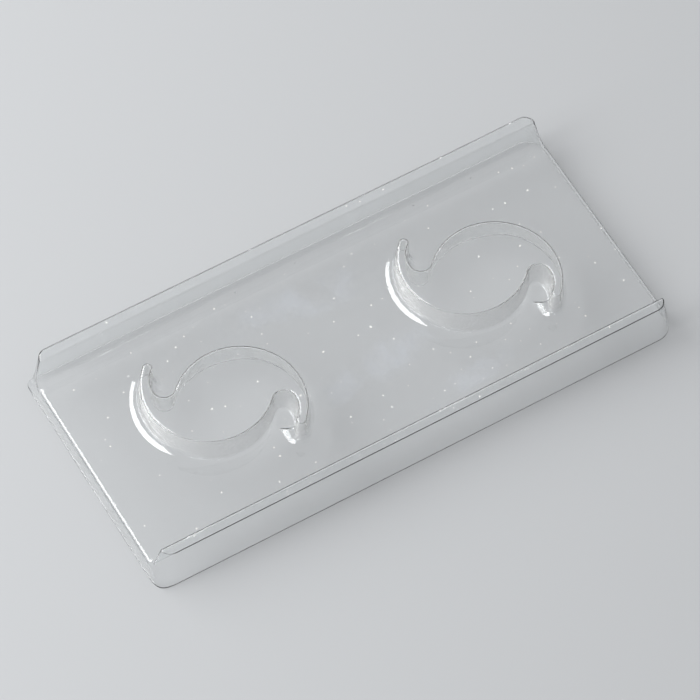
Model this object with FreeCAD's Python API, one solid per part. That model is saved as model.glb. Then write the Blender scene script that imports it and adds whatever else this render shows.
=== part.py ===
"""Clear display tray for two pairs of strip lashes, thermoformed from one sheet.

The sheet is drawn over a mould and trimmed all round, so the tray is one thin shell, open
underneath. A flat deck lies between two rails along the long sides, and the short ends drop
to the cut edge as plain skirts. Two S-shaped plateaus stand on the deck, level with the rails.

Frame: X along the tray, Y across it, Z up. The origin is in the middle of the cut edge.
All sizes are in millimetres and are measured on the upper skin of the sheet.
"""
import os
from math import cos, radians, sin, tan

import FreeCAD
import Part
from FreeCAD import Vector

# Sheet
sheet = 0.25                 # thickness after forming

# Tray
tray_length = 103.0          # at the cut edge
deck_height = 3.3
channel_width = 39.8         # deck between the feet of the rails
end_draft = 11.7             # degrees from upright
corner_radius_low = 3.4      # upright corners at the cut edge, seen from above
corner_radius_high = 2.0     # the same at the top of the rails

# Rails along the long sides
rail_rise = 6.0              # above the deck
rail_slope = 1.0             # how far the inner wall leans out over its height
rail_top = 1.85              # flat top
side_draft = 5.6             # outer wall, degrees from upright

# Plateaus
plateau_draft = 4.3          # degrees from upright
disc_radius = 11.5           # long outer curve of each half
horn_tip_radius = 0.83
horn_side_radius = 4.7       # hollow side of the horn
valley_radius = 1.95         # round end of the gap beside the horn
horn_tip_turn = 187.0        # degrees that the outline turns round the tip
horn_side_turn = 60.0        # the same along the hollow side
valley_turn = 129.0          # the same round the valley
horn_heading = 44.0          # direction of the outline where the tip begins, degrees from X

# Bends: inside radius on the mould where the sheet folds over an edge,
# upper skin radius where a wall stands on the deck
edge_inside = 0.1
rail_edge_inside = 0.35
rail_foot_radius = 1.2
plateau_foot_radius = 1.2
foot_share = 0.9             # most of the valley's width that the bend at a plateau's foot takes up

# Worked out from the sizes above
top_height = deck_height + rail_rise
deck_length = tray_length - 2 * deck_height * tan(radians(end_draft))
plateau_place = deck_length / 4         # each plateau stands in the middle of its half
below = deck_height          # length of wall that is trimmed off under the cut edge
touching = 1e-6              # points closer than this are one point


def bend(before, corner, after, radius):
    """Start, middle and end of the arc that rounds a corner."""
    back = (before - corner).normalize()
    on = (after - corner).normalize()
    half = back.getAngle(on) / 2
    inward = (back + on).normalize()
    run = radius / tan(half)
    middle = corner + inward * (radius / sin(half) - radius)
    return corner + back * run, middle, corner + on * run


def rounded_wire(corners, radii):
    """Closed wire through the corners, with an arc at each corner that has a radius."""
    count = len(corners)
    edges = []
    stops = []
    for i in range(count):
        if radii[i] > 0:
            arc = bend(corners[i - 1], corners[i], corners[(i + 1) % count], radii[i])
            edges.append(Part.Arc(*arc).toShape())
            stops.append((arc[0], arc[2]))
        else:
            stops.append((corners[i], corners[i]))
    for i in range(count):
        start = stops[i - 1][1]
        end = stops[i][0]
        edges.append(Part.LineSegment(start, end).toShape())
    return Part.Wire(Part.__sortEdges__(edges))


def inset(points, distance):
    """Move each side of an anticlockwise (u, v) polygon inwards and meet its neighbours again."""
    moved = []
    count = len(points)
    for i in range(count):
        before, here, after = points[i - 1], points[i], points[(i + 1) % count]
        first = Vector(here[0] - before[0], here[1] - before[1], 0).normalize()
        second = Vector(after[0] - here[0], after[1] - here[1], 0).normalize()
        normals = Vector(-first.y - second.y, first.x + second.x, 0)
        step = distance / (1 + first.dot(second))
        moved.append((here[0] + normals.x * step, here[1] + normals.y * step))
    return moved


def tray_mass(depth):
    """Solid under the skin that lies this deep in the sheet, without the plateaus."""
    foot = channel_width / 2
    rail_inner = foot + rail_slope
    rail_outer = rail_inner + rail_top
    wall_foot = rail_outer + (top_height + below) * tan(radians(side_draft))
    half_section = [(wall_foot, -below), (rail_outer, top_height), (rail_inner, top_height),
                    (foot, deck_height)]
    section = half_section + [(-y, z) for y, z in reversed(half_section)]
    over_edge = rail_edge_inside + sheet - depth
    at_foot = rail_foot_radius + depth
    half_radii = [0, 0, over_edge, at_foot]
    corners = [Vector(-tray_length, y, z) for y, z in inset(section, depth)]
    outline = rounded_wire(corners, half_radii + half_radii[::-1])
    along = Part.Face(outline).extrude(Vector(2 * tray_length, 0, 0))

    lean = tan(radians(end_draft))
    low = tray_length / 2 + below * lean
    high = tray_length / 2 - (top_height + below) * lean
    side = [(-low, -below), (low, -below), (high, top_height + below), (-high, top_height + below)]
    wide = 2 * wall_foot
    corners = [Vector(x, wide, z) for x, z in inset(side, depth)]
    across = Part.Face(Part.makePolygon(corners + corners[:1])).extrude(Vector(0, -2 * wide, 0))

    mass = round_corners(along.common(across), depth)
    return mass.makeFillet(edge_inside + sheet - depth, upper_border(mass))


def round_corners(mass, depth):
    """Round the four upright corners, tighter towards the top."""
    for side_x in (-1, 1):
        for side_y in (-1, 1):
            edge = corner_edge(mass, side_x, side_y)
            radii = [corner_radius_at(edge.valueAt(end).z) - depth for end in edge.ParameterRange]
            mass = mass.makeFillet(radii[0], radii[1], [edge])
    return mass


def corner_radius_at(height):
    """Radius of the upright corners at a height."""
    return corner_radius_low + (corner_radius_high - corner_radius_low) * height / top_height


def corner_edge(mass, side_x, side_y):
    """The sharp upright edge in one corner."""
    for edge in mass.Edges:
        box = edge.BoundBox
        if box.ZLength > top_height and box.Center.x * side_x > 0 and box.Center.y * side_y > 0:
            return edge


def upper_border(mass):
    """Edges where the outer walls meet the deck and the rails, as one closed chain."""
    border = []
    for face in mass.Faces:
        low_u, high_u, low_v, high_v = face.ParameterRange
        normal = face.normalAt((low_u + high_u) / 2, (low_v + high_v) / 2)
        middle = face.CenterOfMass
        if normal.x * middle.x + normal.y * middle.y > channel_width / 4:
            border += [e for e in face.Edges if e.BoundBox.ZMin > 0]
    return [e for e in border if sum(e.isSame(other) for other in border) == 1]


def outline_arcs(outward):
    """Arcs of one plateau outline, moved outwards: centre, radius, heading, turn, side.

    Half of the outline runs clockwise from the tip of the horn round the valley and the disc.
    The other half is the same, turned by 180 degrees. Side is 1 on a swelling arc and -1 on a
    hollow one.
    """
    disc_turn = 180 + horn_side_turn + valley_turn - horn_tip_turn
    steps = [(horn_tip_radius, horn_tip_turn, 1), (horn_side_radius, horn_side_turn, -1),
             (valley_radius, valley_turn, -1), (disc_radius, disc_turn, 1)]
    point = Vector(0, 0, 0)
    heading = horn_heading
    arcs = []
    for radius, turn, side in steps:
        centre = point + right_of(heading) * (radius * side)
        arcs.append((centre, radius + side * outward, heading, turn, side))
        heading -= side * turn
        point = centre - right_of(heading) * (radius * side)
    middle = point * 0.5
    first_half = [(arc[0] - middle,) + arc[1:] for arc in arcs]
    second_half = [(centre * -1, radius, heading + 180, turn, side)
                   for centre, radius, heading, turn, side in first_half]
    return first_half + second_half


def right_of(heading):
    """Direction to the right of a heading."""
    angle = radians(heading)
    return Vector(sin(angle), -cos(angle), 0)


def plateau_slab(outward, low, high):
    """Flat slab with the plateau's outline, moved outwards."""
    edges = []
    for centre, radius, heading, turn, side in outline_arcs(outward):
        stops = [centre - right_of(heading - side * turn * share) * (radius * side)
                 for share in (0, 0.5, 1)]
        edges.append(Part.Arc(*stops).toShape())
    face = Part.Face(Part.Wire(edges))
    return face.extrude(Vector(0, 0, high - low)).translated(Vector(0, 0, low))


def plateau_wall():
    """Wall of one plateau with its bends, turned round the centre of each arc in the outline.

    Returns the pieces of wall, and how far the bends reach in over the top and out over the deck.
    """
    run = rail_rise * tan(radians(plateau_draft))
    half = radians(90 - plateau_draft) / 2
    foot_room = (valley_radius - run) / tan(half)
    foot_radius = min(plateau_foot_radius, foot_share * foot_room)
    top_reach = (edge_inside + sheet) * tan(half)
    foot_reach = run + foot_radius * tan(half)
    past = 2 * (foot_reach + top_reach)
    upper = [(past, deck_height), (run, deck_height), (0, top_height), (-past, top_height)]
    lower = inset(upper + [(-past, -past), (past, -past)], sheet)[:4]

    pieces = []
    for arc in outline_arcs(0):
        centre, radius, heading, turn, side = arc
        outer = wall_skin(arc, upper, foot_reach, top_reach, foot_radius, edge_inside + sheet)
        inner = wall_skin(arc, lower, foot_reach, top_reach, foot_radius + sheet, edge_inside)
        joins = [Part.LineSegment(outer[0], inner[0]), Part.LineSegment(outer[3], inner[3])]
        edges = skin_edges(outer) + skin_edges(inner) + [join.toShape() for join in joins]
        band = Part.Face(Part.Wire(Part.__sortEdges__(edges)))
        pieces.append(band.revolve(centre, Vector(0, 0, -side), turn))
    return pieces, top_reach, foot_reach


def wall_skin(arc, points, foot_reach, top_reach, foot_radius, edge_radius):
    """One skin of the wall where an arc begins: its start on the deck, two bends and its end."""
    centre, radius, heading, turn, side = arc
    reaches = [(foot_reach, points[0][1]), points[1], points[2], (-top_reach, points[3][1])]
    start, foot, edge, end = [
        centre - right_of(heading) * (radius * side + out) + Vector(0, 0, height)
        for out, height in reaches]
    return start, bend(start, foot, edge, foot_radius), bend(foot, edge, end, edge_radius), end


def skin_edges(skin):
    """Edges of one skin of the wall, from the deck to the top."""
    start, foot_bend, edge_bend, end = skin
    stops = [(start, foot_bend[0]), (foot_bend[2], edge_bend[0]), (edge_bend[2], end)]
    lines = [Part.LineSegment(a, b).toShape() for a, b in stops if a.distanceToPoint(b) > touching]
    return lines + [Part.Arc(*foot_bend).toShape(), Part.Arc(*edge_bend).toShape()]


def tray():
    """The whole tray, trimmed at the cut edge."""
    shell = tray_mass(0).cut(tray_mass(sheet))
    reach = 2 * tray_length
    shell = shell.common(Part.makeBox(reach, reach, reach, Vector(-reach / 2, -reach / 2, 0)))

    wall, top_reach, foot_reach = plateau_wall()
    top = plateau_slab(-top_reach, top_height - sheet, top_height)
    gap = plateau_slab(foot_reach, 0, top_height)
    pieces = []
    for place in (Vector(-plateau_place, 0, 0), Vector(plateau_place, 0, 0)):
        shell = shell.cut(gap.translated(place))
        pieces += [piece.translated(place) for piece in wall + [top]]
    return shell.multiFuse(pieces).removeSplitter()


os.makedirs("parts", exist_ok=True)
shape = tray()
print("solids", len(shape.Solids), "valid", shape.isValid(), "volume", round(shape.Volume, 1))
solid = shape.Solids[0]
solid.exportStep("parts/tray.step")
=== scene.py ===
"""Looks of a clear display tray for two pairs of strip lashes.

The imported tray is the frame. Its one piece, a thermoformed sheet, is drawn again here with
smooth bends, the small bows of a thin sheet, and the gloss, dust and smudges of clear PET.
"""
from math import atan2, cos, exp, pi, radians, sin, tan

import bmesh
import bpy
import numpy as np
from mathutils import Matrix, Quaternion, Vector
from mathutils.geometry import delaunay_2d_cdt


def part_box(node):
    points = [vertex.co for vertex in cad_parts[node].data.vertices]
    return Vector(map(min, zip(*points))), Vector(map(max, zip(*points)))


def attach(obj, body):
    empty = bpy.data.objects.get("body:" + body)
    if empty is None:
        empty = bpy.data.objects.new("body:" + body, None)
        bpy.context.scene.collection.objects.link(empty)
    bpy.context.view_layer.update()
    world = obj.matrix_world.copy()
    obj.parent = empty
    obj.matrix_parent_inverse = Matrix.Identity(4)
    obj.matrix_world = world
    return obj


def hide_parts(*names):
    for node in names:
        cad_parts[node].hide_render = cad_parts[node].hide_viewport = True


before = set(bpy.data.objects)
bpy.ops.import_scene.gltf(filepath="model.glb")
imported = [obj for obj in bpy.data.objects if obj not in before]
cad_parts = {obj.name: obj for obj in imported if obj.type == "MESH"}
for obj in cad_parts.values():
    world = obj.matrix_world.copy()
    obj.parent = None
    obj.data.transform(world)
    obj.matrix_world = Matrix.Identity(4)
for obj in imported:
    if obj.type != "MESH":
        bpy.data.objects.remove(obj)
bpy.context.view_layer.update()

# Tray
# One clear PET sheet, heated, drawn over a mould by vacuum and trimmed all round in one plane.
# The deck, the rails, the end skirts and the two plateaus are all the same skin, a quarter of
# a millimetre thick and open underneath.
MM = 0.001
tray_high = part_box("tray")[1]
half_length = tray_high.x               # at the cut edge
half_width = tray_high.y                # at the cut edge
top_height = tray_high.z
sheet = 0.25 * MM
deck_height = 3.3 * MM
rise = top_height - deck_height         # of the rails and the plateaus above the deck
rail_foot = 19.9 * MM                   # from the middle of the tray to the foot of a rail
rail_inner = 20.9 * MM                  # the same to the inner edge of its top
end_draft = radians(11.7)
side_draft = radians(5.6)
deck_fold_radius = 0.75 * MM            # upper skin, where the sheet folds over the ends of the deck
rail_fold_radius = 0.35 * MM            # the same at the top of a rail, over its ends and its outer edge
rail_edge_radius = 0.6 * MM
rail_foot_radius = 1.2 * MM
corner_radius_low = 3.4 * MM            # upright corners at the cut edge
corner_radius_high = 2.0 * MM           # the same at the top of the rails
swell = 0.45 * MM                       # the deck's fold is wider where it meets a rail's foot
swell_place = rail_foot - 0.85 * MM
swell_reach = 0.35 * MM
swell_span = 3 * swell_reach            # rows of points stand closer this near to the foot
deck_steps = 12                         # rows from the middle of the deck to there
swell_steps = 8                         # rows from there to the foot's bend
foot_steps = 12                         # rows over that bend
rise_steps = 12                         # rows up the inner side of a rail
edge_steps = 10                         # rows over the bend at its top
round_steps = 14                        # places round an upright corner, at the top of a rail
halvings = 40                           # of the turn in which a meeting place is looked for
no_turn = 1e-6                          # a corner's turn below this is none
bend_steps = 8                          # flats across the bend over an outer edge
skirt_steps = 6                         # flats from that bend down to the cut edge
column_count = 56                       # along half of a rail
weld = 0.001 * MM                       # points closer than this are one point


def skirt_point(turn, z):
    """Point on the skirt of the corner towards +X and +Y, turned this far from the end."""
    radius = corner_radius_low + (corner_radius_high - corner_radius_low) * z / top_height
    x = half_length - z * tan(end_draft) - radius + radius * cos(turn)
    y = half_width - z * tan(side_draft) - radius + radius * sin(turn)
    return Vector((x, y, z))


def skirt_normal(turn):
    """Direction that the skirt faces at this turn. It is the same at every height."""
    tapering = (corner_radius_low - corner_radius_high) / top_height
    slope = tapering + (tan(end_draft) - tapering) * cos(turn) + (tan(side_draft) - tapering) * sin(turn)
    return Vector((cos(turn), sin(turn), slope)).normalized()


def fold_radius(y, z):
    """Radius of the fold at this point of the section. It tightens towards the top of a rail."""
    swelling = swell * exp(-((y - swell_place) / swell_reach) ** 2)
    return deck_fold_radius + swelling + (rail_fold_radius - deck_fold_radius) * (z - deck_height) / rise


def fold_centre(turn, y, z, lean):
    """Middle of the fold between a skirt and the point (y, z) of the section, leaning this much."""
    normal = skirt_normal(turn)
    radius = fold_radius(y, z)
    centre_z = z - radius * cos(lean)
    on_skirt = skirt_point(turn, centre_z + radius * normal.z)
    return on_skirt - normal * radius, y + radius * sin(lean)


def corner_turn(y, z, lean):
    """How far round the corner the skirt is that meets this point of the section."""
    low, high = 0.0, pi / 2
    for _ in range(halvings):
        middle = (low + high) / 2
        centre, wanted = fold_centre(middle, y, z, lean)
        if centre.y < wanted:
            low = middle
        else:
            high = middle
    return low


def section_rows():
    """Points of the section from the middle of the deck to the outer edge of a rail's top.

    Each is (y, z, lean, turn): lean is the slope of the skin there, and turn is how far round
    the corner its end meets the skirt.
    """
    lean = atan2(rise, rail_inner - rail_foot)
    foot_start = rail_foot - rail_foot_radius * tan(lean / 2)
    edge_end = rail_inner + rail_edge_radius * tan(lean / 2)
    even_end = foot_start - swell_span
    points = [(even_end * i / deck_steps, deck_height, 0.0) for i in range(deck_steps + 1)]
    points += [(even_end + (foot_start - even_end) * i / swell_steps, deck_height, 0.0)
               for i in range(1, swell_steps)]
    for i in range(foot_steps + 1):
        at = lean * i / foot_steps
        points.append((foot_start + rail_foot_radius * sin(at),
                       deck_height + rail_foot_radius * (1 - cos(at)), at))
    y, z, _ = points[-1]
    edge_y = edge_end - rail_edge_radius * sin(lean)
    edge_z = top_height - rail_edge_radius * (1 - cos(lean))
    for i in range(1, rise_steps):
        points.append((y + (edge_y - y) * i / rise_steps, z + (edge_z - z) * i / rise_steps, lean))
    for i in range(edge_steps + 1):
        at = lean * (1 - i / edge_steps)
        points.append((edge_end - rail_edge_radius * sin(at),
                       top_height - rail_edge_radius * (1 - cos(at)), at))
    rows = [point + (corner_turn(*point),) for point in points]
    first = rows[-1][3]
    for i in range(1, round_steps + 1):
        turn = first + (pi / 2 - first) * i / round_steps
        rows.append((fold_centre(turn, 0, top_height, 0)[0].y, top_height, 0.0, turn))
    return rows


def fold_and_skirt(centre, radius, top_normal, side_normal, bottom):
    """Points over the fold and down the skirt to the cut edge."""
    angle = top_normal.angle(side_normal)
    points = []
    for i in range(bend_steps + 1):
        share = i / bend_steps
        normal = (top_normal * sin((1 - share) * angle) + side_normal * sin(share * angle)) / sin(angle)
        points.append(centre + normal * radius)
    start = points[-1]
    return points + [start.lerp(bottom, i / skirt_steps) for i in range(1, skirt_steps + 1)]


def add_grid(skin, grid):
    """Add a grid of points to the skin in all four quarters, as four-sided faces."""
    for side_x in (-1, 1):
        for side_y in (-1, 1):
            rows = [[skin.verts.new((side_x * p.x, side_y * p.y, p.z)) for p in row] for row in grid]
            for low, high in zip(rows, rows[1:]):
                for i in range(len(low) - 1):
                    skin.faces.new((low[i], low[i + 1], high[i + 1], high[i]))


rows = section_rows()
deck_edge = next(i for i, row in enumerate(rows) if row[2] > 0) - 1      # last row on the flat deck
flat_y, flat_z, flat_lean, _ = [row for row in rows if row[3] < no_turn][-1]
flat_reach = flat_y + fold_radius(flat_y, flat_z) * sin(flat_lean)
skin = bmesh.new()

ribs = []
ends = []
for y, z, lean, turn in rows:
    centre, centre_y = fold_centre(turn, y, z, lean)
    centre.y = centre_y
    bottom = skirt_point(turn, 0)
    if turn < no_turn:
        bottom.y *= centre_y / flat_reach
    top_normal = Vector((0, -sin(lean), cos(lean)))
    ends.append((centre + top_normal * fold_radius(y, z)).x)
    ribs.append(fold_and_skirt(centre, fold_radius(y, z), top_normal, skirt_normal(turn), bottom))
add_grid(skin, ribs)

shares = [i / column_count for i in range(column_count + 1)]
section = [[Vector((end * share, y, z)) for share in shares]
           for end, (y, z, lean, turn) in list(zip(ends, rows))[deck_edge:]]
add_grid(skin, section)

side_bottom = skirt_point(pi / 2, 0)
long_side = []
for share in shares:
    over = Vector((ends[-1] * share, centre.y, centre.z))
    bottom = Vector((side_bottom.x * share, side_bottom.y, 0))
    long_side.append(fold_and_skirt(over, rail_fold_radius, Vector((0, 0, 1)), skirt_normal(pi / 2), bottom))
add_grid(skin, long_side)

# The plateaus of the tray: the lash bands lie along their curves. Each outline is two like
# halves, turned by half a turn: the round tip of a horn, its hollow side, the round end of
# the valley beside it, and the long curve of a disc.
plateau_draft = radians(4.3)
horn_tip = (0.83 * MM, 187.0, 1)        # radius, degrees turned through, 1 if it swells outwards
horn_side = (4.7 * MM, 60.0, -1)
valley = (1.95 * MM, 129.0, -1)
disc_radius = 11.5 * MM
horn_heading = 44.0
plateau_edge_radius = 0.5 * MM          # upper skin, round the top
# The bend onto the deck: number of the arc and share of the way along it, and the radius there.
# It is wide outside the horn, widest on the inner side of its tip, and tight in the valley.
foot_bends = [(0.0, 2.2 * MM), (0.75, 2.2 * MM), (1.05, 3.4 * MM), (1.30, 0.5 * MM),
              (3.33, 0.7 * MM), (3.54, 2.2 * MM), (4.0, 2.2 * MM)]
plateau_place = (half_length - deck_height * tan(end_draft)) / 2
outline_step = 0.25 * MM
arc_steps = 16                          # fewest steps along one arc of the outline


def foot_radius(along):
    """Radius of the bend at the foot, this far along the arcs of half the outline."""
    for (low, low_radius), (high, high_radius) in zip(foot_bends, foot_bends[1:]):
        if along <= high:
            share = (1 - cos(pi * (along - low) / (high - low))) / 2
            return low_radius + (high_radius - low_radius) * share


def outline_stations():
    """Points round the whole outline, each with its outward direction and the bend at its foot."""
    disc_turn = 180 + horn_side[1] + valley[1] - horn_tip[1]
    point = Vector((0, 0, 0))
    heading = horn_heading
    half = []
    arcs = (horn_tip, horn_side, valley, (disc_radius, disc_turn, 1))
    for number, (radius, degrees_turned, side) in enumerate(arcs):
        right = Vector((sin(radians(heading)), -cos(radians(heading)), 0))
        middle = point + right * radius * side
        steps = max(round(radius * radians(degrees_turned) / outline_step), arc_steps)
        for i in range(steps + 1):
            at = radians(heading - side * degrees_turned * i / steps)
            outward = Vector((-sin(at), cos(at), 0))
            point = middle + outward * radius * side
            if i < steps:
                half.append((point, outward, foot_radius(number + i / steps)))
        heading -= side * degrees_turned
    half = [(place - point / 2, outward, foot) for place, outward, foot in half]
    return half + [(-place, -outward, foot) for place, outward, foot in half]


def plateau_outline():
    """The outline as a closed line of points, which carry their outward direction and foot radius."""
    line = bpy.data.meshes.new("plateau_outline")
    stations = outline_stations()
    count = len(stations)
    edges = [(i, (i + 1) % count) for i in range(count)]
    line.from_pydata([place for place, _, _ in stations], edges, [])
    outward = [part for _, direction, _ in stations for part in direction]
    line.attributes.new("outward", "FLOAT_VECTOR", "POINT").data.foreach_set("vector", outward)
    feet = [foot for _, _, foot in stations]
    line.attributes.new("foot_radius", "FLOAT", "POINT").data.foreach_set("value", feet)
    return bpy.data.objects.new("plateau_outline", line)


maths = "ShaderNodeMath"
spread = "ShaderNodeMapRange"
noise = "ShaderNodeTexNoise"
attribute = "GeometryNodeInputNamedAttribute"


def add_node(tree, kind, values=None, **settings):
    """Add a node with its settings.

    A value is a plain one for the socket, a socket to link from, or a node whose first output
    is linked.
    """
    node = tree.nodes.new(kind)
    for name, setting in settings.items():
        setattr(node, name, setting)
    for key, value in (values or {}).items():
        if isinstance(value, bpy.types.Node):
            value = value.outputs[0]
        if isinstance(value, bpy.types.NodeSocket):
            tree.links.new(value, node.inputs[key])
        else:
            node.inputs[key].default_value = value
    return node


def plateau_tree():
    """Geometry Nodes that sweep the wall, with its two bends, round the outline of each plateau."""
    tree = bpy.data.node_groups.new("plateau walls", "GeometryNodeTree")
    tree.interface.new_socket("Geometry", in_out="INPUT", socket_type="NodeSocketGeometry")
    for name in ("Deck height", "Rise", "Draft", "Edge radius", "Spacing"):
        tree.interface.new_socket(name, in_out="INPUT", socket_type="NodeSocketFloat")
    for name in ("Rows", "Count"):
        tree.interface.new_socket(name, in_out="INPUT", socket_type="NodeSocketInt")
    tree.interface.new_socket("Material", in_out="INPUT", socket_type="NodeSocketMaterial")
    tree.interface.new_socket("Geometry", in_out="OUTPUT", socket_type="NodeSocketGeometry")
    given = add_node(tree, "NodeGroupInput").outputs

    # The profile is a line whose share runs from 0 on the deck to 1 on the top.
    profile = add_node(tree, "GeometryNodeCurvePrimitiveLine")
    profile = add_node(tree, "GeometryNodeResampleCurve", {
        "Curve": profile.outputs["Curve"], "Count": given["Rows"]})
    share = add_node(tree, "GeometryNodeSplineParameter").outputs["Factor"]
    profile = add_node(tree, "GeometryNodeStoreNamedAttribute", {
        "Geometry": profile.outputs["Curve"], "Name": "share", "Value": share},
        data_type="FLOAT", domain="POINT")
    here = add_node(tree, "GeometryNodeInputPosition").outputs[0]
    outline = add_node(tree, "GeometryNodeStoreNamedAttribute", {
        "Geometry": given["Geometry"], "Name": "place", "Value": here},
        data_type="FLOAT_VECTOR", domain="POINT")
    outline = add_node(tree, "GeometryNodeMeshToCurve", {"Mesh": outline.outputs["Geometry"]})
    band = add_node(tree, "GeometryNodeCurveToMesh", {
        "Curve": outline.outputs["Curve"], "Profile Curve": profile.outputs["Geometry"]})

    # The first part of the share is the bend at the foot, the last part the bend at the top.
    share = add_node(tree, attribute, {"Name": "share"}, data_type="FLOAT")
    foot_radius = add_node(tree, attribute, {"Name": "foot_radius"}, data_type="FLOAT")
    outward = add_node(tree, attribute, {"Name": "outward"}, data_type="FLOAT_VECTOR")
    place = add_node(tree, attribute, {"Name": "place"}, data_type="FLOAT_VECTOR")
    lean = add_node(tree, maths, {0: pi / 2, 1: given["Draft"]}, operation="SUBTRACT")
    run = add_node(tree, maths, {0: given["Draft"]}, operation="TANGENT")
    run = add_node(tree, maths, {0: given["Rise"], 1: run}, operation="MULTIPLY")
    half_tan = add_node(tree, maths, {0: lean, 1: 0.5}, operation="MULTIPLY")
    half_tan = add_node(tree, maths, {0: half_tan}, operation="TANGENT")
    at_foot = add_node(tree, spread, {"Value": share, "From Max": foot_part, "To Max": lean})
    at_top = add_node(tree, spread, {
        "Value": share, "From Min": 1 - top_part, "To Min": lean, "To Max": 0.0})
    along = add_node(tree, spread, {"Value": share, "From Min": foot_part, "From Max": 1 - top_part})
    foot_start = add_node(tree, maths, {0: foot_radius, 1: half_tan, 2: run}, operation="MULTIPLY_ADD")
    foot_out = add_node(tree, maths, {0: at_foot}, operation="SINE")
    foot_out = add_node(tree, maths, {0: foot_radius, 1: foot_out}, operation="MULTIPLY")
    foot_out = add_node(tree, maths, {0: foot_start, 1: foot_out}, operation="SUBTRACT")
    foot_up = add_node(tree, maths, {0: at_foot}, operation="COSINE")
    foot_up = add_node(tree, maths, {0: 1.0, 1: foot_up}, operation="SUBTRACT")
    foot_up = add_node(tree, maths, {0: foot_radius, 1: foot_up}, operation="MULTIPLY")
    edge_out = add_node(tree, maths, {0: at_top}, operation="SINE")
    edge_out = add_node(tree, maths, {0: edge_out, 1: half_tan}, operation="SUBTRACT")
    edge_out = add_node(tree, maths, {0: given["Edge radius"], 1: edge_out}, operation="MULTIPLY")
    edge_up = add_node(tree, maths, {0: at_top}, operation="COSINE")
    edge_up = add_node(tree, maths, {0: 1.0, 1: edge_up}, operation="SUBTRACT")
    edge_up = add_node(tree, maths, {0: given["Edge radius"], 1: edge_up}, operation="MULTIPLY")
    edge_up = add_node(tree, maths, {0: given["Rise"], 1: edge_up}, operation="SUBTRACT")
    out = add_node(tree, maths, {0: edge_out, 1: foot_out}, operation="SUBTRACT")
    out = add_node(tree, maths, {0: out, 1: along, 2: foot_out}, operation="MULTIPLY_ADD")
    up = add_node(tree, maths, {0: edge_up, 1: foot_up}, operation="SUBTRACT")
    up = add_node(tree, maths, {0: up, 1: along, 2: foot_up}, operation="MULTIPLY_ADD")
    up = add_node(tree, maths, {0: up, 1: given["Deck height"]}, operation="ADD")
    up = add_node(tree, "ShaderNodeCombineXYZ", {"Z": up})
    out = add_node(tree, "ShaderNodeVectorMath", {0: outward, "Scale": out}, operation="SCALE")
    place = add_node(tree, "ShaderNodeVectorMath", {0: place, 1: out}, operation="ADD")
    place = add_node(tree, "ShaderNodeVectorMath", {0: place, 1: up}, operation="ADD")
    band = add_node(tree, "GeometryNodeSetPosition", {"Geometry": band.outputs["Mesh"], "Position": place})

    # One plateau stands in the middle of each half of the tray.
    first = add_node(tree, maths, {0: given["Spacing"], 1: -0.5}, operation="MULTIPLY")
    first = add_node(tree, "ShaderNodeCombineXYZ", {"X": first})
    step = add_node(tree, "ShaderNodeCombineXYZ", {"X": given["Spacing"]}).outputs[0]
    spots = add_node(tree, "GeometryNodeMeshLine", {
        "Count": given["Count"], "Start Location": first, "Offset": step})
    bands = add_node(tree, "GeometryNodeInstanceOnPoints", {
        "Points": spots.outputs["Mesh"], "Instance": band.outputs["Geometry"]})
    bands = add_node(tree, "GeometryNodeRealizeInstances", {"Geometry": bands.outputs["Instances"]})
    bands = add_node(tree, "GeometryNodeSetMaterial", {
        "Geometry": bands.outputs["Geometry"], "Material": given["Material"]})
    add_node(tree, "NodeGroupOutput", {"Geometry": bands.outputs["Geometry"]})
    return tree


wall_steps = 24                         # from the deck up to the top of a plateau
foot_part = 14 / wall_steps             # share of them in the bend at the foot
top_part = 8 / wall_steps               # share of them in the bend at the top
plateau_count = 2
plateau_sizes = {
    "Deck height": deck_height, "Rise": rise, "Draft": plateau_draft, "Edge radius": plateau_edge_radius,
    "Spacing": 2 * plateau_place, "Rows": wall_steps + 1, "Count": plateau_count}
walls = plateau_outline()
bpy.context.scene.collection.objects.link(walls)
sweep = walls.modifiers.new("sweep", "NODES")
sweep.node_group = plateau_tree()
for item in sweep.node_group.interface.items_tree:
    if item.in_out == "INPUT" and item.name in plateau_sizes:
        sweep[item.identifier] = plateau_sizes[item.name]
wall_mesh = bpy.data.meshes.new_from_object(walls.evaluated_get(bpy.context.evaluated_depsgraph_get()))
bpy.data.objects.remove(walls)
skin.from_mesh(wall_mesh)


# The flat stretches of the tray: the deck, with a hole under each plateau, and the plateaus' tops.
fill_step = 1.6 * MM
fill_tolerance = 1e-6                   # mm
plateau_zone = 0.7 * plateau_place      # half the length of the stretch that holds one plateau


def loops_at(height):
    """Open edges of the plateau walls at this height, as closed loops of points in plan."""
    near = [edge for edge in skin.edges if edge.is_boundary
            and all(abs(vert.co.z - height) < weld for vert in edge.verts)
            and all(abs(abs(vert.co.x) - plateau_place) < plateau_zone for vert in edge.verts)
            and all(abs(vert.co.y) < rail_foot - rail_foot_radius for vert in edge.verts)]
    after = {}
    for edge in near:
        for vert, other in (edge.verts, reversed(edge.verts)):
            after.setdefault(vert, []).append(other)
    loops = []
    while after:
        vert, (other, _) = next(iter(after.items()))
        loop = [vert]
        while other is not loop[0]:
            loop.append(other)
            other = next(v for v in after[other] if v is not loop[-2])
        for vert in loop:
            del after[vert]
        loops.append([(vert.co.x, vert.co.y) for vert in loop])
    return loops


def inside(points, loop):
    """For each point, whether the loop runs round it."""
    x, y = np.array(points).T
    within = np.zeros(len(x), bool)
    for (ax, ay), (bx, by) in zip(loop, loop[1:] + loop[:1]):
        if ay != by:
            crossed = ((ay > y) != (by > y)) & (x < (bx - ax) * (y - ay) / (by - ay) + ax)
            within ^= crossed
    return within


def filled(points, border, holes):
    """For each point, whether it lies inside the border and outside the holes."""
    in_hole = np.any([inside(points, hole) for hole in holes] or [[False]], axis=0)
    return inside(points, border) & ~in_hole


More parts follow.
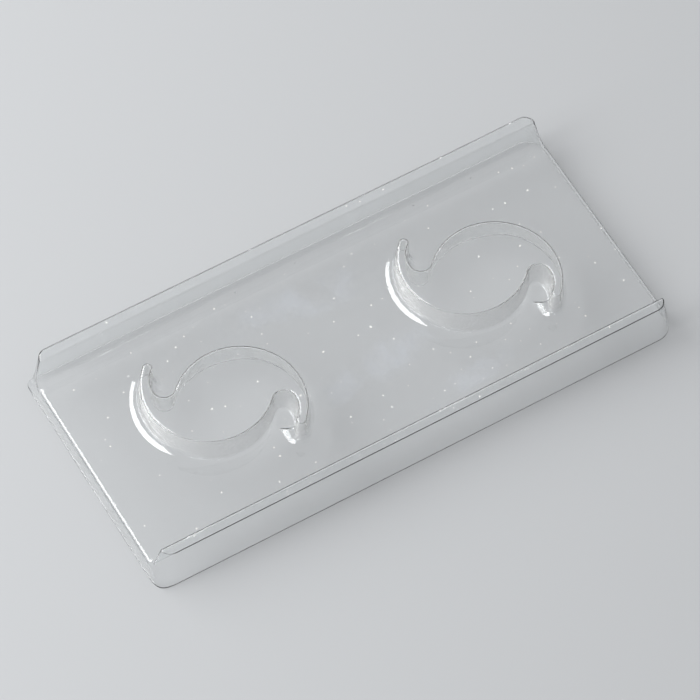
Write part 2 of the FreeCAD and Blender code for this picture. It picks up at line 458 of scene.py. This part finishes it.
def fill(border, holes, height):
    """Fill the flat stretch between a border and its holes with even triangles."""
    points = [point for loop in [border] + holes for point in loop]
    edges = []
    start = 0
    for loop in [border] + holes:
        edges += [(start + i, start + (i + 1) % len(loop)) for i in range(len(loop))]
        start += len(loop)
    low, high = np.min(border, axis=0), np.max(border, axis=0)
    spots = [(x, y) for x in np.arange(low[0], high[0], fill_step)
             for y in np.arange(low[1], high[1], fill_step)]
    rim = np.array(points)
    clear = [np.min(np.hypot(*(rim - spot).T)) > fill_step / 2 for spot in spots]
    free = filled(spots, border, holes) & np.array(clear)
    points += [spot for spot, keep in zip(spots, free) if keep]
    to_mm = [Vector(point) / MM for point in points]
    spots, _, faces, *_ = delaunay_2d_cdt(to_mm, edges, [], 0, fill_tolerance)
    spots = [spot * MM for spot in spots]
    middles = [sum((spots[i] for i in face), Vector((0, 0))) / 3 for face in faces]
    keep = filled(middles, border, holes)
    verts = [skin.verts.new((spot.x, spot.y, height)) for spot in spots]
    for face, kept in zip(faces, keep):
        if kept:
            skin.faces.new([verts[i] for i in face])


deck_y = rows[deck_edge][0]
across = [(end, row[0]) for end, row in zip(ends, rows[:deck_edge + 1])]
along = [ends[deck_edge] * share for share in shares]
border = ([(-x, -deck_y) for x in along[::-1]] + [(x, -deck_y) for x in along[1:]]
          + [(x, -y) for x, y in across[-2::-1]] + [(x, y) for x, y in across[1:]]
          + [(x, deck_y) for x in along[-2::-1]] + [(-x, deck_y) for x in along[1:]]
          + [(-x, y) for x, y in across[-2::-1]] + [(-x, -y) for x, y in across[1:-1]])
fill(border, loops_at(deck_height), deck_height)
for loop in loops_at(top_height):
    fill(loop, [], top_height)

bmesh.ops.remove_doubles(skin, verts=skin.verts, dist=weld)
bmesh.ops.recalc_face_normals(skin, faces=skin.faces)
bmesh.ops.delete(skin, geom=[v for v in skin.verts if not v.link_faces], context="VERTS")

# A thin sheet doesn't stay true once it is cut free: two of its corners stand out of round.
out_of_round = {(-1, 1): 0.75 * MM, (-1, -1): 0.35 * MM}        # most that a corner stands out
for vert in skin.verts:
    push = out_of_round.get((1 if vert.co.x > 0 else -1, 1 if vert.co.y > 0 else -1), 0)
    radius = corner_radius_low + (corner_radius_high - corner_radius_low) * vert.co.z / top_height
    over_x = abs(vert.co.x) - (half_length - vert.co.z * tan(end_draft) - radius)
    over_y = abs(vert.co.y) - (half_width - vert.co.z * tan(side_draft) - radius)
    if push and over_x > 0 and over_y > 0 and vert.co.z < deck_height:
        turn = atan2(over_y, over_x)
        push *= sin(2 * turn) ** 3 * (1 - vert.co.z / deck_height) ** 2
        vert.co.x += push * cos(turn) * (1 if vert.co.x > 0 else -1)
        vert.co.y += push * sin(turn) * (1 if vert.co.y > 0 else -1)

# The outer edge of the back rail's top bows out, most of all towards its right end.
rail_bow = 0.13 * MM
end_bow = 0.33 * MM
bow_start = 0.5                         # share of the half length where it begins to grow
outer_edge = half_width - top_height * tan(side_draft)
for vert in skin.verts:
    across_top = (vert.co.y - rail_inner) / (outer_edge - rail_inner)
    if across_top > 0:
        growth = max((vert.co.x / half_length - bow_start) / (1 - bow_start), 0) ** 2
        bow = rail_bow + (end_bow - rail_bow) * growth
        vert.co.y += bow * min(across_top, 1) * vert.co.z / top_height

tray_mesh = bpy.data.meshes.new("tray_skin")
skin.to_mesh(tray_mesh)
skin.free()
tray = bpy.data.objects.new("clear_tray", tray_mesh)
bpy.context.scene.collection.objects.link(tray)
thick = tray.modifiers.new("thickness", "SOLIDIFY")
thick.thickness = sheet
thick.offset = -1
thick.use_even_offset = True
thick.use_quality_normals = True
tray_mesh = bpy.data.meshes.new_from_object(tray.evaluated_get(bpy.context.evaluated_depsgraph_get()))
tray.modifiers.clear()
tray.data = tray_mesh
for vert in tray_mesh.vertices:
    vert.co.z = max(vert.co.z, 0)
crease = radians(50)                    # the cut edge is sharper than this, every bend is smoother
tray_mesh.shade_smooth()
tray_mesh.set_sharp_from_angle(angle=crease)
even = tray.modifiers.new("flat faces lead the normals", "WEIGHTED_NORMAL")
even.mode = "FACE_AREA"
even.keep_sharp = True
tray_mesh = bpy.data.meshes.new_from_object(tray.evaluated_get(bpy.context.evaluated_depsgraph_get()))
tray.modifiers.clear()
tray.data = tray_mesh


def colour(code):
    """Linear colour of an sRGB hex code."""
    parts = [int(code[i:i + 2], 16) / 255 for i in (1, 3, 5)]
    return tuple(c / 12.92 if c <= 0.04045 else ((c + 0.055) / 1.055) ** 2.4 for c in parts) + (1.0,)


pet_ior = 1.575
pet_roughness = 0.02
# The mould's grain is finer than this. It is drawn as coarse as it needs to show.
grain_size = 0.30 * MM
grain_depth = 0.003 * MM
grain_roughness = 0.20
grain_haze = 0.10                       # most of the light that a wall scatters
end_grain = 0.8                         # the end skirts are drawn less than the plateaus' walls
wave_size = 11.0 * MM
wave_depth = 0.03 * MM
# Real dust is finer, too. It is drawn as coarse as it needs to show.
dust_spacing = 2.4 * MM
dust_share = 0.24                       # share of the cells that hold a speck
dust_smallest = 0.10 * MM               # radius
dust_largest = 0.28 * MM
dust_edge = 0.7                         # share of its radius at which a speck starts to fade
dust_ragged = (0.5, 1.3)                # least and most of the radius along a speck's outline
film_roughness = 0.9                    # of dust and dried grease
# Place on the deck, half length, half width and direction of each cloud of grease.
smudges = [(-4.0, 12.5, 19.0, 4.5, -5.0), (2.0, -5.0, 15.0, 4.5, 8.0), (15.0, -15.4, 11.0, 3.2, 12.0)]
smudge_size = 5.0 * MM                  # of the blotches in a cloud
smudge_noise = (0.42, 0.66)             # noise at which a blotch begins and is full
smudge_fade = 0.5                       # share of the way in at which a cloud is full
smudge_roughness = 0.18
smudge_cover = 0.14
noise_range = (0.35, 0.65)              # nearly all of a noise lies between
straight_through = 0.95                 # share of a lamp's light that a face lets through head on
glancing_power = 5.0                    # how late it falls off towards a glancing angle


def clear_pet():
    """PET sheet as it comes off the mould: clear and glossy on the flats, grained where it was drawn.

    Light dust and three clouds of finger grease lie on what faces up.
    """
    material = bpy.data.materials.new("PET sheet, clear, thermoformed")
    material.use_nodes = True
    tree = material.node_tree
    tree.nodes.clear()

    place = add_node(tree, "ShaderNodeTexCoord").outputs["Object"]
    drawn = add_node(tree, "ShaderNodeAttribute", attribute_name="drawn").outputs["Fac"]
    upward = add_node(tree, "ShaderNodeAttribute", attribute_name="upward").outputs["Fac"]

    # Grain of the mould on the walls, and slow waves of a thin sheet everywhere.
    grain = add_node(tree, noise, {"Vector": place, "Scale": 1 / grain_size, "Detail": 2.0})
    grain = add_node(tree, maths, {0: grain.outputs["Fac"], 1: drawn}, operation="MULTIPLY")
    grain = add_node(tree, "ShaderNodeBump", {"Height": grain, "Strength": 1.0, "Distance": grain_depth})
    waves = add_node(tree, noise, {"Vector": place, "Scale": 1 / wave_size, "Detail": 1.0})
    waves = add_node(tree, "ShaderNodeBump", {
        "Height": waves.outputs["Fac"], "Strength": 1.0, "Distance": wave_depth, "Normal": grain})

    # Specks of dust: some cells of a Voronoi pattern hold one, each of its own size.
    cells = add_node(tree, "ShaderNodeTexVoronoi", {
        "Vector": place, "Scale": 1 / dust_spacing}, voronoi_dimensions="2D").outputs
    chance = add_node(tree, "ShaderNodeSeparateColor", {"Color": cells["Color"]}).outputs["Red"]
    reach = add_node(tree, spread, {
        "Value": chance, "From Min": 1 - dust_share, "To Min": dust_smallest / dust_spacing,
        "To Max": dust_largest / dust_spacing})
    ragged = add_node(tree, noise, {"Vector": place, "Scale": 1 / dust_largest, "Detail": 1.0})
    ragged = add_node(tree, spread, {
        "Value": ragged.outputs["Fac"], "From Min": noise_range[0], "From Max": noise_range[1],
        "To Min": dust_ragged[0], "To Max": dust_ragged[1]})
    reach = add_node(tree, maths, {0: reach, 1: ragged}, operation="MULTIPLY")
    dust = add_node(tree, maths, {0: cells["Distance"], 1: reach}, operation="DIVIDE")
    dust = add_node(tree, spread, {"Value": dust, "From Min": 1.0, "From Max": dust_edge})
    dust = add_node(tree, maths, {0: dust, 1: upward}, operation="MULTIPLY")
    holds_one = add_node(tree, maths, {0: chance, 1: 1 - dust_share}, operation="GREATER_THAN")
    dust = add_node(tree, maths, {0: dust, 1: holds_one}, operation="MULTIPLY")

    # Clouds of finger grease, broken up by noise.
    grease = 0.0
    for x, y, half_long, half_wide, degrees_turned in smudges:
        spot = add_node(tree, "ShaderNodeMapping", {
            "Vector": place, "Location": (x * MM, y * MM, 0), "Rotation": (0, 0, radians(degrees_turned)),
            "Scale": (half_long * MM, half_wide * MM, 1)}, vector_type="TEXTURE").outputs[0]
        cloud = add_node(tree, "ShaderNodeTexGradient", {"Vector": spot}, gradient_type="SPHERICAL")
        grease = add_node(tree, maths, {0: cloud.outputs["Fac"], 1: grease}, operation="MAXIMUM")
    grease = add_node(tree, spread, {"Value": grease, "From Max": smudge_fade})
    blotches = add_node(tree, noise, {"Vector": place, "Scale": 1 / smudge_size, "Detail": 4.0})
    blotches = add_node(tree, spread, {
        "Value": blotches.outputs["Fac"], "From Min": smudge_noise[0], "From Max": smudge_noise[1]})
    grease = add_node(tree, maths, {0: grease, 1: blotches}, operation="MULTIPLY")
    grease = add_node(tree, maths, {0: grease, 1: upward}, operation="MULTIPLY")

    rough = add_node(tree, spread, {"Value": drawn, "To Min": pet_roughness, "To Max": grain_roughness})
    smeared = add_node(tree, maths, {0: grease, 1: smudge_roughness}, operation="MULTIPLY")
    rough = add_node(tree, maths, {0: rough, 1: smeared}, operation="ADD")
    pet = add_node(tree, "ShaderNodeBsdfPrincipled", {
        "Base Color": colour("#FBFCFC"), "Roughness": rough, "IOR": pet_ior, "Transmission Weight": 1.0,
        "Normal": waves})
    tint = add_node(tree, maths, {0: dust, 1: drawn}, operation="MAXIMUM")
    tint = add_node(tree, "ShaderNodeMix", {
        "Factor": tint, "A": colour("#DDE5F2"), "B": colour("#F4F3F0")}, data_type="RGBA")
    film = add_node(tree, "ShaderNodeBsdfPrincipled", {
        "Base Color": tint.outputs["Result"], "Roughness": film_roughness})
    cover = add_node(tree, maths, {0: grease, 1: smudge_cover}, operation="MULTIPLY")
    cover = add_node(tree, maths, {0: cover, 1: dust}, operation="MAXIMUM")
    haze = add_node(tree, noise, {"Vector": place, "Scale": 1 / grain_size, "Detail": 1.0})
    haze = add_node(tree, spread, {
        "Value": haze.outputs["Fac"], "From Min": noise_range[0], "From Max": noise_range[1],
        "To Max": grain_haze})
    haze = add_node(tree, maths, {0: haze, 1: drawn}, operation="MULTIPLY")
    cover = add_node(tree, maths, {0: cover, 1: haze}, operation="MAXIMUM")
    surface = add_node(tree, "ShaderNodeMixShader", {0: cover, 1: pet, 2: film})

    # Lamps shine through, less what each face turns back at a glancing angle.
    rays = add_node(tree, "ShaderNodeLightPath").outputs
    passing = add_node(tree, maths, {
        0: rays["Is Shadow Ray"], 1: rays["Is Diffuse Ray"]}, operation="MAXIMUM")
    facing = add_node(tree, "ShaderNodeLayerWeight", {"Blend": 0.5}).outputs["Facing"]
    kept = add_node(tree, maths, {0: facing, 1: glancing_power}, operation="POWER")
    kept = add_node(tree, spread, {"Value": kept, "To Min": straight_through, "To Max": 0.0})
    through = add_node(tree, "ShaderNodeBsdfTransparent", {"Color": kept})
    surface = add_node(tree, "ShaderNodeMixShader", {0: passing, 1: surface, 2: through})
    add_node(tree, "ShaderNodeOutputMaterial", {"Surface": surface})
    return material


steep_start, steep_span = 0.4, 0.4      # 1 less the upright part of a normal, where drawing shows
up_start, up_span = 0.8, 0.15           # upright part of a normal, where dust and grease lie
plateau_reach = 16 * MM                 # from the middle of a plateau to beyond its walls
normals = np.array([vert.normal for vert in tray_mesh.vertices])
places = np.array([vert.co for vert in tray_mesh.vertices])
steep = np.clip((1 - np.abs(normals[:, 2]) - steep_start) / steep_span, 0, 1)
on_plateau = np.hypot(np.abs(places[:, 0]) - plateau_place, places[:, 1]) < plateau_reach
on_end = np.abs(places[:, 0]) > half_length - deck_height * tan(end_draft) - weld
drawn = steep * np.maximum(on_plateau, end_grain * on_end)
tray_mesh.attributes.new("drawn", "FLOAT", "POINT").data.foreach_set("value", drawn)
upward = np.clip((normals[:, 2] - up_start) / up_span, 0, 1)
tray_mesh.attributes.new("upward", "FLOAT", "POINT").data.foreach_set("value", upward)
tray_mesh.materials.clear()
tray_mesh.materials.append(clear_pet())
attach(tray, "root")
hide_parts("tray")

# Floor
# A plain sheet of pale matt paper, flat under the tray and well past the picture's edges.
# It isn't part of the object.
floor_mesh = bpy.data.meshes.new("floor")
floor_gap = 0.02 * MM                   # so that the cut edge and the floor don't share a plane
reach = 4.0                             # metres each way
corners = [(-reach, -reach, 0), (reach, -reach, 0), (reach, reach, 0), (-reach, reach, 0)]
floor_mesh.from_pydata(corners, [], [(0, 1, 2, 3)])
floor = bpy.data.objects.new("floor", floor_mesh)
floor.location.z = -floor_gap
bpy.context.scene.collection.objects.link(floor)
paper = bpy.data.materials.new("paper sweep, matt")
paper.use_nodes = True
paper_shader = paper.node_tree.nodes["Principled BSDF"]
paper_shader.inputs["Base Color"].default_value = colour("#C9CBCD")
paper_shader.inputs["Roughness"].default_value = 0.9
paper_shader.inputs["Specular IOR Level"].default_value = 0.1
floor_mesh.materials.append(paper)

# Light
# One long soft box behind the tray and to its left, and a pale room. Its twin in the same place
# adds to its reflections in the plastic alone, since the floor would be too bright with both.
box_azimuth = radians(146.5)
box_elevation = radians(33.1)
box_spin = radians(-5.1)
box_direction = Vector((cos(box_elevation) * cos(box_azimuth), cos(box_elevation) * sin(box_azimuth),
                        sin(box_elevation)))
box_distance = 0.94
box_length = 1.52
box_width = 0.61
box_power = 18.0
glint_power = 18.0
room_light = 0.3                        # how strongly the room lights the tray
room_seen = 1.0                         # how strongly it is seen or mirrored
soft_box = bpy.data.lights.new("soft_box", "AREA")
soft_box.shape = "RECTANGLE"
soft_box.size = box_length
soft_box.size_y = box_width
soft_box.energy = box_power
lamp = bpy.data.objects.new("soft_box", soft_box)
lamp.location = box_direction * box_distance
lamp.rotation_euler = (box_direction.to_track_quat("Z", "Y") @ Quaternion((0, 0, 1), box_spin)).to_euler()
bpy.context.scene.collection.objects.link(lamp)
glint = lamp.copy()
glint.name = "soft_box_glint"
glint.data = soft_box.copy()
glint.data.energy = glint_power
glint.visible_diffuse = False
lamp.visible_camera = False
glint.visible_camera = False
bpy.context.scene.collection.objects.link(glint)

world = bpy.data.worlds.new("pale room")
bpy.context.scene.world = world
world.use_nodes = True
room = world.node_tree
background = room.nodes["Background"]
background.inputs["Color"].default_value = colour("#E9EAEC")
rays = add_node(room, "ShaderNodeLightPath").outputs
seen = add_node(room, "ShaderNodeMath", {
    0: rays["Is Camera Ray"], 1: rays["Is Glossy Ray"]}, operation="MAXIMUM")
seen = add_node(room, "ShaderNodeMath", {
    0: seen.outputs[0], 1: rays["Is Transmission Ray"]}, operation="MAXIMUM")
strength = add_node(room, "ShaderNodeMapRange", {
    "Value": seen.outputs[0], "To Min": room_light, "To Max": room_seen})
room.links.new(strength.outputs["Result"], background.inputs["Strength"])

# Camera
# Where the photograph was taken from: in front of the tray, to its left and well above it.
# The values were fitted to the tray's straight edges and corners.
azimuth, elevation, roll = radians(-32.57), radians(59.08), radians(2.402)
distance = 762.3 * MM
focal_length = 4408.5                   # in pixels of a picture this wide
picture_width = 700
sensor_width = 36.0
clip_start = 0.01
origin_right = 1.987 / focal_length     # place of the origin in the view
origin_down = 6.719 / focal_length
back = Vector((sin(azimuth) * cos(elevation), -cos(azimuth) * cos(elevation), sin(elevation)))
level = Vector((cos(azimuth), sin(azimuth), 0))
above = back.cross(level)
right = level * cos(roll) + above * sin(roll)
up = above * cos(roll) - level * sin(roll)
camera = bpy.data.objects.new("camera", bpy.data.cameras.new("camera"))
camera.data.sensor_width = sensor_width
camera.data.lens = sensor_width * focal_length / picture_width
camera.data.clip_start = clip_start
stand = Matrix.Translation((back - right * origin_right + up * origin_down) * distance)
camera.matrix_world = stand @ Matrix((right, up, back)).transposed().to_4x4()
bpy.context.scene.collection.objects.link(camera)
bpy.context.scene.camera = camera

bpy.context.scene.view_settings.view_transform = "Standard"
